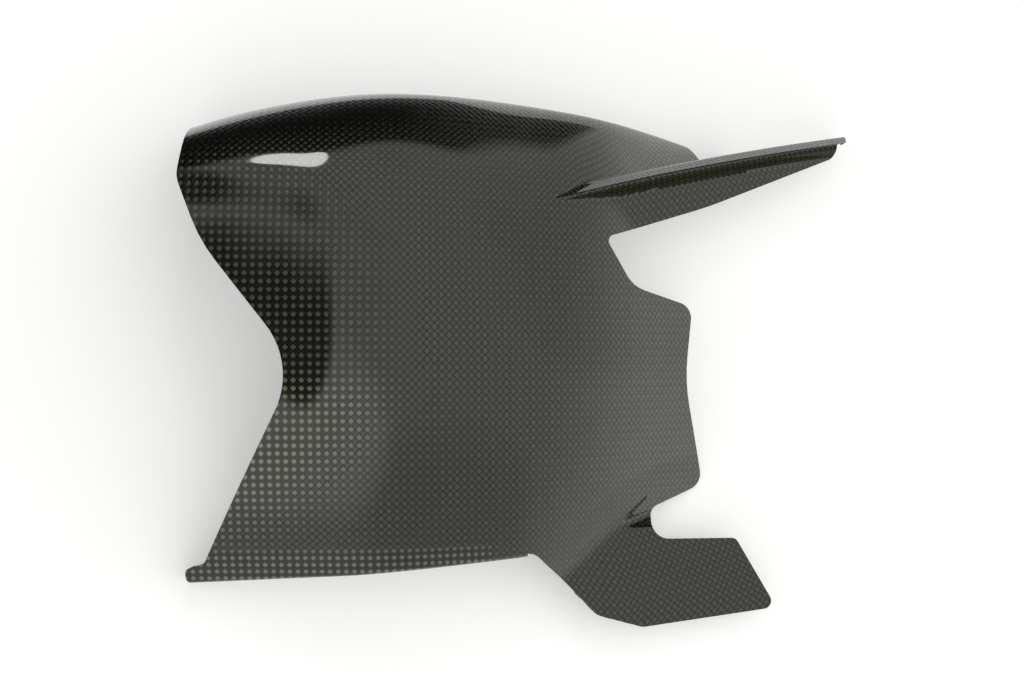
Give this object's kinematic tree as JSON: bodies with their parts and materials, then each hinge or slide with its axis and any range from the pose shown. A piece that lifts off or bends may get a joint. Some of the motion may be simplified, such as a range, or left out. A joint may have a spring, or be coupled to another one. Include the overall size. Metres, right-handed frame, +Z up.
{
  "type": "swingarm guard",
  "caption": "One-piece moulded carbon shell that covers the side of a motorbike swingarm, with an arched front edge, a ribbed fin, a folded lip and a flat bonding tab.",
  "frame": {"origin": "on the surface the guard lies on, under the middle of its bounding box", "axes": "+X from the arched front edge towards the fin and the tab, +Y across towards the shoulder side, +Z up out of the crown"},
  "size_m": [0.2824, 0.2016, 0.0667],
  "materials": {
    "carbon": "plain-weave carbon laminate under a smooth gloss clear coat"
  },
  "bodies": {
    "root": {"swingarm_guard": "carbon"}
  },
  "joints": []
}
